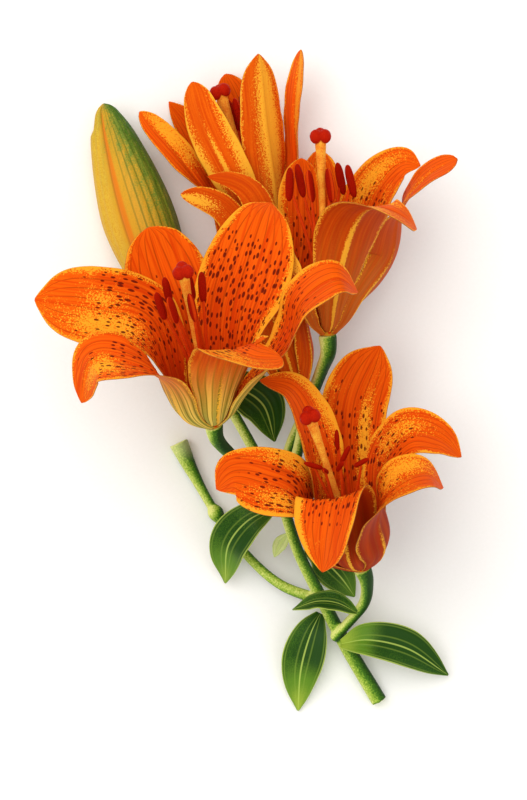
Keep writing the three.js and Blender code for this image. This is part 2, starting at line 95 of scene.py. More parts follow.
class Wire:
    """One socket of a material. Sums and products of wires and numbers add their Math nodes."""

    def __init__(self, socket):
        self.socket = socket

    def node(self, kind, settings=None, inputs=None, out=0):
        """Adds a node to this wire's material and gives the wire of one of its outputs."""
        made = self.socket.id_data.nodes.new(kind)
        for key, value in (settings or {}).items():
            if key == "stops":
                band = made.color_ramp.elements
                while len(band) < len(value):
                    band.new(1)
                for stop, (place, colour) in zip(band, value):
                    stop.position = place
                    stop.color = colour
            else:
                setattr(made, key, value)
        for key, value in (inputs or {}).items():
            if isinstance(value, Wire):
                self.socket.id_data.links.new(value.socket, made.inputs[key])
            else:
                made.inputs[key].default_value = value
        return Wire(made.outputs[out])

    def math(self, operation, first, second=0.0):
        return self.node("ShaderNodeMath", {"operation": operation}, {0: first, 1: second})

    def __add__(self, other):
        return self.math("ADD", self, other)

    def __radd__(self, other):
        return self.math("ADD", other, self)

    def __sub__(self, other):
        return self.math("SUBTRACT", self, other)

    def __rsub__(self, other):
        return self.math("SUBTRACT", other, self)

    def __mul__(self, other):
        return self.math("MULTIPLY", self, other)

    def __rmul__(self, other):
        return self.math("MULTIPLY", other, self)

    def __abs__(self):
        return self.math("ABSOLUTE", self)

    def step(self, low, high):
        """0 below low, 1 above high and smooth between them; low may be the larger."""
        settings = {"interpolation_type": "SMOOTHSTEP"}
        ends = {1: high, 2: low, 3: 1.0, 4: 0.0} if low > high else {1: low, 2: high}
        return self.node("ShaderNodeMapRange", settings, {0: self, **ends})

    def wave(self, turns):
        """A row of even ridges from 0 to 1, with this many over a span of 1."""
        return self.math("SINE", self * (turns * 2 * math.pi)) * 0.5 + 0.5

    def mix(self, off, on):
        """The first colour where this mask is 0 and the second where it is 1."""
        return self.node("ShaderNodeMix", {"data_type": "RGBA"}, {0: self, 6: off, 7: on}, 2)

    def through(self, *stops):
        """Runs through these colours, each given as its place from 0 to 1 and its code."""
        stops = [(place, hue(code)) for place, code in stops]
        return self.node("ShaderNodeValToRGB", {"stops": stops}, {"Fac": self})

    def stretched(self, shares):
        return self.node("ShaderNodeVectorMath", {"operation": "MULTIPLY"}, {0: self, 1: shares})

    def noise(self, scale, detail=2.0, stretch=None, rough=0.5):
        """A soft random cloud pattern from 0 to 1, drawn out along an axis by its stretch."""
        place = self.stretched(stretch) if stretch else self
        inputs = {"Vector": place, "Scale": scale, "Detail": detail, "Roughness": rough}
        return place.node("ShaderNodeTexNoise", {}, inputs)


def finish_named(name):
    """A new material, with its shader node and a wire of the place on the object."""
    material = bpy.data.materials.new(name)
    material.use_nodes = True
    tree = material.node_tree
    place = tree.nodes.new("ShaderNodeTexCoord").outputs["Object"]
    return material, tree.nodes["Principled BSDF"], Wire(place)


def fit(shader, relief=None, strength=0.3, depth=0.0004, **sockets):
    """Joins wires or fixed values to the shader's sockets, and a height to its normal."""
    tree = shader.id_data
    for name, value in sockets.items():
        socket = shader.inputs[name.replace("_", " ")]
        if isinstance(value, Wire):
            tree.links.new(value.socket, socket)
        else:
            socket.default_value = value
    if relief is not None:
        bump = tree.nodes.new("ShaderNodeBump")
        bump.inputs["Strength"].default_value = strength
        bump.inputs["Distance"].default_value = depth
        tree.links.new(relief.socket, bump.inputs["Height"])
        tree.links.new(bump.outputs["Normal"], shader.inputs["Normal"])


def made_mesh(name, bm):
    """Turns finished mesh work into a mesh of this name and lets the work go."""
    mesh = bpy.data.meshes.new(name)
    bm.to_mesh(mesh)
    bm.free()
    return mesh


paper, shader, place = finish_named("pale_sheet")
grain = place.noise(900, detail=3)
fit(shader, Base_Color=grain.mix(hue("f6f5f1"), hue("fbfaf7")), Roughness=0.9,
    relief=grain, strength=0.05)
bm = bmesh.new()
bmesh.ops.create_grid(bm, x_segments=1, y_segments=1, size=SHEET_REACH)
table = placed("table", made_mesh("table", bm))
table.data.materials.append(paper)
table.location.z = -SHEET_DROP


# The stem. One fleshy green shoot carries five flower stalks, the stalk of the bud and a bare
# stalk that has lost its flower. They grow from one another, so their skin is a single surface.
STEM_RADIUS = 2.7
STEM_TAPER = (1.08, 1.0, 0.88, 0.78, 0.78)
PEDICEL_RADIUS = 2.0
PEDICEL_SWELL = (1, 0.95, 1, 1.1, 1.25, 1.7)
PEDICEL_END_RADIUS = 4.3
PEDICEL_STRAIGHT_END = 6
BUD_STRAIGHT_END = 5
SEAT_GAP = 0.3
UMBEL = (12.5, -45, 20)
STEM_LINE = [(47.5, -116.5, 2.66), (34.5, -94.5, 8), (27, -80, 12), (18, -62, 17), UMBEL]
BARE_STALK = [(27, -80, 12), (11.5, -74, 9), (-1, -63, 6), (-12, -48, 4.5), (-21, -32, 4),
              (-25.5, -22.5, 4)]
BARE_STALK_RADII = (2.2, 1.9, 1.7, 1.7, 2, 3.6)
# The ring on the bare stalk: its share of the 41 even places along the stalk, and its radii.
RING_SPAN = slice(24, 28)
RING_RADII = (1.6, 2.6, 2.9, 2.1)
BUD_BASE = np.array((-28, 25.5, 12.9))
BUD_TIP = np.array((-52.7, 100.6, 12.5))
# Each flower: where its stalk ends, which way it looks, and the stalk's way from the stem.
FLOWER_SEATS = {
    "left_flower": ((-12.5, -16, 50), (-0.17, 0.79, 0.59), [UMBEL, (6, -38, 26), (-5, -28, 37)]),
    "top_flower": ((13, 38.5, 12), (-0.35, 0.93, 0.06),
                   [UMBEL, (16, -30, 14), (20, 0, 9), (17, 22, 9)]),
    "right_flower": ((28.5, 16.5, 36), (-0.05, 0.97, 0.24),
                     [UMBEL, (14, -27, 19), (21, -10, 19), (26.5, 4, 27)]),
    "low_flower": ((41, -67.5, 36), (-0.26, 0.745, 0.615),
                   [(31, -93.5, 9), (36, -88, 14), (42, -80, 23)]),
    "hidden_flower": ((18, -5, 26.5), (-0.28, 0.96, 0), [UMBEL, (16, -32, 23), (19.5, -18, 26)]),
}


def carried_on(rows):
    """Rows with one more at each end, straight on from the last two."""
    rows = np.asarray(rows, float)
    return np.concatenate([[2 * rows[0] - rows[1]], rows, [2 * rows[-1] - rows[-2]]])


def smooth(values, t):
    """Values at t, from 0 to 1, of a smooth curve through values at even steps."""
    padded = carried_on(values)
    last = len(values) - 1
    place = np.clip(t, 0, 1) * last
    i = np.minimum(place.astype(int), last - 1)
    u = place - i
    a, b, c, d = (padded[i + k] for k in range(4))
    return b + 0.5 * u * (c - a + u * (2 * a - 5 * b + 4 * c - d + u * (3 * (b - c) + d - a)))


def unit(rows):
    """Directions made one unit long."""
    return rows / np.linalg.norm(rows, axis=-1, keepdims=True)


def smooth_route(points, count):
    """Evenly spaced places along a smooth curve through the points, from end to end."""
    knots = carried_on(points)
    fine = []
    for k in range(len(points) - 1):
        before, start, end, after = knots[k : k + 4]
        pairs = (before, start), (start, end), (end, after)
        gap_in, gap, gap_out = (np.sqrt(np.linalg.norm(q - p)) for p, q in pairs)
        leave = (start - before) / gap_in - (end - before) / (gap_in + gap) + (end - start) / gap
        arrive = (end - start) / gap - (after - start) / (gap + gap_out) + (after - end) / gap_out
        leave, arrive = leave * gap, arrive * gap
        u = np.linspace(0, 1, 80, endpoint=False)[:, None]
        curve = 2 * start - 2 * end + leave + arrive
        slope = 3 * (end - start) - 2 * leave - arrive
        fine.append(start + leave * u + slope * u**2 + curve * u**3)
    fine = np.concatenate([*fine, knots[-2:-1]])
    along = np.concatenate([[0], np.cumsum(np.linalg.norm(np.diff(fine, axis=0), axis=1))])
    even = np.linspace(0, along[-1], count)
    return np.stack([np.interp(even, along, fine[:, k]) for k in range(3)], -1)


def settled_mesh(piece):
    """The mesh that a piece has once its modifiers or its curve have done their work."""
    view = bpy.context.evaluated_depsgraph_get()
    return bpy.data.meshes.new_from_object(piece.evaluated_get(view))


def rod(points, radii, count=70, roundness=5):
    """A round body along a smooth curve, with its radius at even steps, as a mesh in metres."""
    line = bpy.data.curves.new("rod", "CURVE")
    line.dimensions = "3D"
    line.bevel_depth = MM
    line.bevel_resolution = roundness
    line.use_fill_caps = True
    spline = line.splines.new("POLY")
    places = smooth_route(points, count) * MM
    spline.points.add(count - 1)
    spline.points.foreach_set("co", np.column_stack([places, np.ones(count)]).ravel())
    spline.points.foreach_set("radius", smooth(radii, np.linspace(0, 1, count)))
    holder = placed("rod", line)
    mesh = settled_mesh(holder)
    bpy.data.objects.remove(holder)
    return mesh


def grown_together(name, meshes, voxel, passes):
    """Meshes that cross one another made one closed skin, with its junctions rounded."""
    bm = bmesh.new()
    for mesh in meshes:
        bm.from_mesh(mesh)
    piece = placed(name, made_mesh(name, bm))
    remesh = piece.modifiers.new("skin", "REMESH")
    remesh.mode = "VOXEL"
    remesh.voxel_size = voxel * MM
    relax = piece.modifiers.new("relax", "SMOOTH")
    relax.iterations = passes
    piece.data = settled_mesh(piece)
    piece.modifiers.clear()
    piece.data.name = name
    piece.data.shade_smooth()
    return piece


def read_rows(source, key):
    """Three numbers for each vertex, one row a vertex."""
    rows = np.empty(len(source) * 3, np.float32)
    source.foreach_get(key, rows)
    return rows.reshape(-1, 3).astype(float)


def mark(mesh, **numbers):
    """Keeps numbers on a mesh's vertices under these names, for the material to read."""
    for name, values in numbers.items():
        layer = mesh.attributes.new(name, "FLOAT", "POINT")
        layer.data.foreach_set("value", np.full(len(mesh.vertices), values, np.float32))


def read_mark(place, name):
    """The wire of a number that a mesh keeps under this name."""
    return place.node("ShaderNodeAttribute", {"attribute_name": name}, out="Fac")


def belongs(piece, slot, *nodes):
    """Says which body carries a piece and which nodes it stands for; what it is, its slot, is not
    used.
    """
    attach(piece, "root")
    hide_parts(*nodes)


def ramp(t, low, high):
    """0 at low, 1 at high and smooth between them."""
    share = np.clip((t - low) / (high - low), 0, 1)
    return share * share * (3 - 2 * share)


shoots = [rod(STEM_LINE, [STEM_RADIUS * k for k in STEM_TAPER], count=110, roundness=7)]
for base, axis, way in FLOWER_SEATS.values():
    axis = unit(np.array(axis))
    route = [*way, np.array(base) - PEDICEL_STRAIGHT_END * axis, base]
    shoots.append(rod(route, [PEDICEL_RADIUS * k for k in PEDICEL_SWELL]))
bud_axis = unit(BUD_TIP - BUD_BASE)
bud_way = [UMBEL, (3, -27, 17), (-9, -6, 14), (-20, 10, 13),
           BUD_BASE - BUD_STRAIGHT_END * bud_axis, BUD_BASE - SEAT_GAP * bud_axis]
shoots.append(rod(bud_way, [PEDICEL_RADIUS] * 3 + [1.1 * PEDICEL_RADIUS, PEDICEL_END_RADIUS]))
shoots.append(rod(BARE_STALK, BARE_STALK_RADII, count=90))
shoots.append(rod(smooth_route(BARE_STALK, 41)[RING_SPAN], RING_RADII, count=12))
stem = grown_together("green_stem", shoots, voxel=0.42, passes=5)
skin = read_rows(stem.data.vertices, "co") / MM
facing = read_rows(stem.data.vertex_normals, "vector")
AWAY_FROM_SUN = unit(np.array([0.85, -0.45, -0.25]))
mark(stem.data, shaded=facing @ AWAY_FROM_SUN * 0.5 + 0.5)
# Pale flesh shows on the two cut faces, and half of its colour on the bare stalk's flare.
CUT_REACH = 5
cut = np.zeros(len(skin))
for end, before in ((STEM_LINE[0], STEM_LINE[1]), (BARE_STALK[-1], BARE_STALK[-2])):
    way = unit(np.array(end) - np.array(before))
    depth = (skin - np.array(end)) @ way
    near = np.linalg.norm(skin - np.array(end), axis=1) < CUT_REACH
    cut = np.maximum(cut, near * ramp(depth, -0.7, -0.25) * ramp(facing @ way, 0.45, 0.8))
flare = ramp(np.linalg.norm(skin - np.array(BARE_STALK[-1]), axis=1), 9, 2)
mark(stem.data, cut=np.maximum(cut, flare * 0.5))

stem_green, shader, place = finish_named("stem_green")
speckle = place.noise(1700, detail=3)
cloud = place.noise(60, detail=3)
shade = read_mark(place, "shaded") + (speckle - 0.5) * 0.5 + (cloud - 0.5) * 0.25
green = shade.through((0.14, "e3e682"), (0.32, "9cb83c"), (0.48, "457512"), (0.7, "173c04"))
flesh = speckle.mix(hue("e9ecb0"), hue("cdd884"))
fit(shader, Base_Color=read_mark(place, "cut").mix(green, flesh), Roughness=0.5,
    Specular_IOR_Level=0.15, relief=speckle, strength=0.15, depth=0.0002)
stem.data.materials.append(stem_green)
belongs(stem, "stem", "stem")


# The leaves. Each is a thin blade with a sunken midrib and a few veins that run beside it from
# the root to the tip. The upper side is dark and slightly waxy, and the underside is pale.
LEAF_THICKNESS = 0.8
LEAF_OUTLINE = [0.22, 0.72, 0.97, 1, 0.82, 0.5, 0.05]
LEAF_VEINS = 7
GROOVE_DEPTH = 0.35
GROOVE_WIDTH = 0.8
VEIN_HEIGHT = 0.08
RIPPLE_HEIGHT = 0.3
BRACT_PALENESS = 2.0
STEPS_ACROSS = 36
# Each leaf: width, midrib, the way its upper side looks at the root and at the tip, the half
# angle of its cupping along it, and how pale its root and its tip are.
LEAVES = {
    "leaf_big_left": (15.5, [(9.3, -46, 22.9), (0, -50.5, 23.5), (-7, -59, 18), (-8.5, -73.5, 4)],
                      [(0, 0.2, 1), (-0.4, 0, 1)], [20, 25, 15], (0.2, 0.85)),
    "leaf_upper": (17, [(-8.8, -5.6, 16.7), (-3, -3.5, 20), (5, -8.5, 21), (9.5, -22, 17)],
                   [(0, 0.1, 1), (0.2, 0.2, 1)], [20, 20, 12], (0.0, 0.15)),
    "leaf_behind": (15, [(20.5, -61.5, 12.3), (25, -63.5, 9), (33, -71, 7), (38.5, -78.5, 2.5)],
                    [(0.2, 0.3, 1), (0.2, 0.2, 1)], [20, 20, 12], (0.1, 0.5)),
    "leaf_small": (9, [(39.2, -84, 22.6), (32, -80.5, 23.5), (25, -80, 21.3), (16, -83, 17.3)],
                   [(0, 0.6, 0.8), (0, 0.7, 0.8)], [30, 30, 20], (0.15, 0.2)),
    "leaf_down": (15.5, [(26, -84.5, 6.5), (22.5, -92, 7.5), (19, -105, 6), (18, -120, 1.2)],
                  [(0, 0, 1), (-0.1, -0.1, 1)], [20, 18, 10], (0.1, 1.0)),
    "leaf_right": (15, [(33.5, -95.5, 12), (43, -94, 17), (57, -97, 14), (72.5, -107, 3)],
                   [(0, 0.3, 1), (0.1, 0.1, 1)], [30, 30, 10], (0.95, 0.15)),
    "bract_small": (5, [(14.2, -55.6, 17.7), (11.2, -59.6, 16.3), (9.3, -64, 15)],
                    [(0, 0, 1), (0, 0, 1)], [20, 18, 10], (1.0, 1.0)),
}


def spun(rows, axes, degrees):
    """Rows of directions turned about rows of axes that stand square to them."""
    angle = np.radians(degrees)[:, None]
    return rows * np.cos(angle) + np.cross(axes, rows) * np.sin(angle)


def thin_blade(name, surface, steps, thickness, finishes, rim_share):
    """A blade on both sides of surface(t, s), which thins towards its margins and its tip."""
    bm = bmesh.new()
    bmesh.ops.create_grid(bm, x_segments=steps, y_segments=STEPS_ACROSS, size=0.5)
    t = np.array([v.co.x + 0.5 for v in bm.verts])
    s = np.array([v.co.y * 2 for v in bm.verts])
    for vert, row in zip(bm.verts, surface(t, s) * MM):
        vert.co = row
    piece = placed(name, made_mesh(name, bm))
    for finish in finishes:
        piece.data.materials.append(finish)
    piece.data.shade_smooth()
    thick = piece.vertex_groups.new(name="thick")
    for k, share in enumerate((1 - np.abs(s) ** 2.5) * (1 - 0.6 * t)):
        thick.add([k], float(share), "REPLACE")
    shell = piece.modifiers.new("thickness", "SOLIDIFY")
    shell.thickness = thickness * MM
    shell.offset = 0
    shell.vertex_group = "thick"
    shell.thickness_vertex_group = rim_share
    shell.use_even_offset = False
    shell.material_offset = 1
    shell.material_offset_rim = 2
    return piece, t, s


def rows_at(rows, t):
    """Rows of three numbers at t, from 0 to 1, on straight lines through rows at even steps."""
    last = len(rows) - 1
    return np.stack([np.interp(t * last, np.arange(last + 1), rows[:, k]) for k in range(3)], -1)


def leaf_surface(width, route, face, cupping):
    """The places on a leaf, for t from its root to its tip and s from margin to margin."""
    places = smooth_route(route, 161)
    ahead = unit(np.gradient(places, axis=0))
    root, tip = (np.array(way, float) for way in face)

    def surface(t, s):
        way = unit(rows_at(ahead, t))
        normal = root + (tip - root) * t[:, None]
        normal = unit(normal - (normal * way).sum(1)[:, None] * way)
        side = np.cross(normal, way)
        half = width / 2 * smooth(LEAF_OUTLINE, t)
        roll = np.radians(smooth(cupping, t))
        swing = np.sin(math.pi * t)
        groove = -GROOVE_DEPTH * np.exp(-((s * half / GROOVE_WIDTH) ** 2)) * (1 - t)
        ribs = VEIN_HEIGHT * np.cos(s * LEAF_VEINS * math.pi) * swing
        ripple = RIPPLE_HEIGHT * s**2 * np.sin(t * 17 + s * 2 + width) * swing
        lift = half * (1 - np.cos(roll * s)) / roll + groove + ribs + ripple
        bend = (half * np.sin(roll * s) / roll)[:, None]
        return rows_at(places, t) + side * bend + normal * lift[:, None]

    return surface


def ridges(across, count):
    """A row of even ridges across a blade, from margin to margin."""
    return (across * 0.5 + 0.5).wave(count)


def leaf_finish(name, dark, half_way, fresh, vein_colour, vein_share):
    """A side of the leaves: its colour on old parts, on younger ones and at fresh tips."""
    material, shader, place = finish_named(name)
    across = read_mark(place, "across")
    vein = ridges(across, LEAF_VEINS / 2).step(0.93, 1.0)
    wander = place.noise(45, detail=3)
    grain = place.noise(2400)
    pale = read_mark(place, "pale") + (wander - 0.5) * 0.35 + (grain - 0.5) * 0.2
    lit = (wander + (grain - 0.5) * 1.2 + across * -0.25).step(0.5, 0.95) * 0.5
    middling = pale.step(0.05, 0.55).mix(lit.mix(hue(dark), hue("4d7a16")), hue(half_way))
    blade = pale.step(0.5, 1.1).mix(middling, hue(fresh))
    blade = pale.step(1.2, 1.6).mix(blade, hue("ccd68c"))
    veined = (vein * vein_share).mix(blade, hue(vein_colour))
    from_midrib = abs(across)
    ribbed = (from_midrib.step(0.055, 0.02) * 0.7).mix(veined, hue("b4cb5c"))
    edged = from_midrib.step(0.93, 0.99).mix(ribbed, hue("a9bc50"))
    fit(shader, Base_Color=edged, Roughness=0.45, Specular_IOR_Level=0.12,
        relief=vein * 0.6 + grain * 0.25, depth=0.0003)
    return material


leaf_faces = [
    leaf_finish("leaf_upper_side", "1f4409", "5c8420", "a0b43a", "86a23a", 0.35),
    leaf_finish("leaf_underside", "6f8f2c", "93ac44", "b9c95c", "c9d67c", 0.5),
    leaf_finish("leaf_rim", "9fb85a", "b2c56b", "c4d27c", "c9d67c", 0.3),
]
for name, (width, route, face, cupping, (root_pale, tip_pale)) in LEAVES.items():
    surface = leaf_surface(width, route, face, cupping)
    blade, t, s = thin_blade(name + "_blade", surface, steps=70, thickness=LEAF_THICKNESS,
                             finishes=leaf_faces, rim_share=0.4)
    is_bract = name.startswith("bract")
    pale = BRACT_PALENESS * is_bract + root_pale * ramp(t, 0.45, 0)
    pale = pale + tip_pale * ramp(t, 0.35, 1) * (1 - 0.3 * s * s)
    mark(blade.data, across=s, pale=pale)
    belongs(blade, "bract" if is_bract else "leaf", name)


# The bud. Three outer tepals are still shut over the inner three, with a groove where their
# margins meet and raised ribs down the middle of each. It is green towards its tip, where it
# ripens last, and painted shade makes it greener and darker on the side away from the light.
BUD_RADIUS = 12.8
BUD_OUTLINE = [0.3, 0.68, 0.92, 1.0, 0.98, 0.88, 0.73, 0.53, 0.2]
BUD_ROUND_TIP = (0.955, 0.0452)
SEAM_TURN = math.radians(-34)
SEAM_WIDTH = 0.028
RIBS_PER_THIRD = 7
RIB_HEIGHT = 0.16
LAP_WIDTH = 0.42
LAP_HEIGHT = 1.1


def rounded_off(t, start, reach):
    """1 up to the start of a round tip, and on from there down a quarter of a circle."""
    return np.sqrt(1 - np.clip((t - start) / reach, 0, 1) ** 2)


def ways_round(axis):
    """The way to the front and the way to the right of what grows along an axis."""
    front = np.array((0, 0, 1.0))
    front = unit(front - front @ axis * axis)
    return front, np.cross(axis, front)


bm = bmesh.new()
bmesh.ops.create_cone(bm, cap_ends=True, segments=120, radius1=1, radius2=1, depth=1)
upright = [e for e in bm.edges if abs(e.verts[0].co.z - e.verts[1].co.z) > 0.5]
bmesh.ops.subdivide_edges(bm, edges=upright, cuts=79, use_grid_fill=True)
t = np.array([v.co.z + 0.5 for v in bm.verts])
turn = np.array([math.atan2(v.co.x, v.co.y) for v in bm.verts])
third = (turn - SEAM_TURN) / (2 * math.pi / 3) % 1
seam = np.exp(-((np.minimum(third, 1 - third) / SEAM_WIDTH) ** 2)) * ramp(t, 0.02, 0.2)
ribs = np.cos((third - 0.5) * 2 * math.pi * RIBS_PER_THIRD)
ribs = ribs * ramp(np.abs(third - 0.5), 0.4, 0.3)
lap = np.exp(-(((turn + math.pi / 2) / LAP_WIDTH) ** 2))
lap = lap * ramp(t, 0.25, 0.5) * ramp(t, 0.905, 0.87)
radius = BUD_RADIUS * smooth(BUD_OUTLINE, t) * (1 + 0.04 * np.cos(3 * turn - 0.6))
radius = radius * rounded_off(t, *BUD_ROUND_TIP) + lap * LAP_HEIGHT
groove = seam * (0.5 + 1.1 * ramp(t, 0.6, 1)) * np.minimum(1, radius / 3)
radius = radius - groove + ribs * RIB_HEIGHT * ramp(t, 0, 0.2)
length = np.linalg.norm(BUD_TIP - BUD_BASE)
front, right = ways_round(bud_axis)
around = front * np.cos(turn)[:, None] + right * np.sin(turn)[:, None]
rows = BUD_BASE + bud_axis * (t * length)[:, None] + around * radius[:, None]
for vert, row in zip(bm.verts, rows * MM):
    vert.co = row
bmesh.ops.recalc_face_normals(bm, faces=bm.faces)
bud = placed("flower_bud", made_mesh("flower_bud", bm))
bud.data.shade_smooth()
mark(bud.data, third=third, side=np.sin(turn), up=t, seam=seam)

bud_skin, shader, place = finish_named("bud_skin")
side, up, seam_mark, third_mark = (read_mark(place, n) for n in ("side", "up", "seam", "third"))
grain = place.noise(2000, detail=3)
drift = place.noise(500, stretch=(1, 0.12, 1))
# Painted shade: the bud turns greener and darker towards the side away from the light, where the
# dark lines lie too, and a painted highlight lays a gold band down the lit side. The tip is green
# where the bud ripens last.
green_and_shade = side.step(-0.3, 0.95) * 0.68 + up.step(0.5, 1.0) * 0.35
green_and_shade = green_and_shade + (grain - 0.5) * 0.9 + (drift - 0.5) * 0.7
ripe_and_shaded = green_and_shade.through((0.02, "cf9722"), (0.35, "b58f22"), (0.6, "78842a"), (0.92, "3f6212"))
lit_band = side.step(-0.55, -0.8)
toned = (lit_band * 0.7 * grain.step(0.35, 0.6)).mix(ripe_and_shaded, hue("dcb637"))
furrow = third_mark.wave(10).step(0.72, 1.0) * side.step(-0.35, 0.0)
lined = (furrow * 0.6).mix(toned, hue("4a5f10"))
stripe = side.step(-0.62, -0.52) * side.step(-0.3, -0.4) * (1 - up.step(0.9, 1))
striped = (stripe * 0.8).mix(lined, hue("d9700f"))
seamed = (seam_mark.step(0.4, 1) * 0.5).mix(striped, hue("8c6418"))
fit(shader, Base_Color=seamed, Roughness=0.5, Specular_IOR_Level=0.12,
    relief=grain + drift, strength=0.25, depth=0.0003)
bud.data.materials.append(bud_skin)
belongs(bud, "bud", "bud")


# The tepals. Six thick waxy petals stand in two whorls on each flower, each rolled out of a narrow
# channelled claw and bent by its own weight. The route is the midrib, in millimetres, from the
# bowl on. Gold patches are places on the blade, as (along, across, reach, reach, strength).
TEPAL_THICKNESS = 0.8
# How far out and how high a claw starts, on the inner and on the outer whorl, the two heights
# that it climbs through in the bowl, and how much wider the outer whorl's bowl is.
CLAW_RADIUS = (2.4, 3.1)
CLAW_RISE = (1.7, 0.7)
BOWL_STEPS = (5, 13)
BOWL_LAP = 2.2
WHORL_TURN = 60
TEPAL_ROUND_TIP = (0.93, 0.0705)
CHANNEL_DEPTH = 0.55
CHANNEL_WIDTH = 1.1
RUFFLE_HEIGHT = 0.22
# Outlines of tepals: shares of the full width at even steps from the claw to the tip.
ROUND = [0.24, 0.36, 0.54, 0.7, 0.87, 0.97, 1, 0.96, 0.83, 0.57, 0.16]
FULL = [0.24, 0.4, 0.66, 0.86, 0.97, 1, 1, 0.96, 0.83, 0.57, 0.16]
BLUNT = [0.24, 0.37, 0.52, 0.68, 0.87, 0.97, 1, 1, 0.94, 0.74, 0.4]
LATE = [0.24, 0.4, 0.56, 0.66, 0.72, 0.74, 0.88, 0.97, 0.88, 0.56, 0.16]
TUBE = [0.39, 0.7, 0.92, 1, 0.98, 0.93, 0.88, 0.83, 0.7, 0.45, 0.16]
NARROW = [0.24, 0.36, 0.56, 0.78, 0.95, 1, 0.9, 0.72, 0.56, 0.46, 0.3]
STRAP = [0.24, 0.4, 0.6, 0.8, 0.95, 1, 1, 0.97, 0.9, 0.76, 0.4]
EARLY = [0.29, 0.62, 0.92, 1, 0.94, 0.85, 0.73, 0.6, 0.44, 0.26, 0.14]
POINTED = [0.24, 0.37, 0.52, 0.68, 0.87, 0.97, 1, 1, 0.94, 0.74, 0.22]


def tepal(width, route, roll=(50, 40, 22, 10), twist=(0, 0), wave=0.6, outline=ROUND,
          gold=(), gold_outside=(), spots=(0.25, 0.7), dots=1.0):
    """One tepal: its width and midrib, its half angle of roll and its turn in degrees along it,
    the height of its waves, its outline, its gold, where its spots start and end, and how many."""
    return dict(width=width, route=route, roll=roll, twist=twist, wave=wave, outline=outline,
                gold=gold, gold_outside=gold_outside, spots=spots, dots=dots)
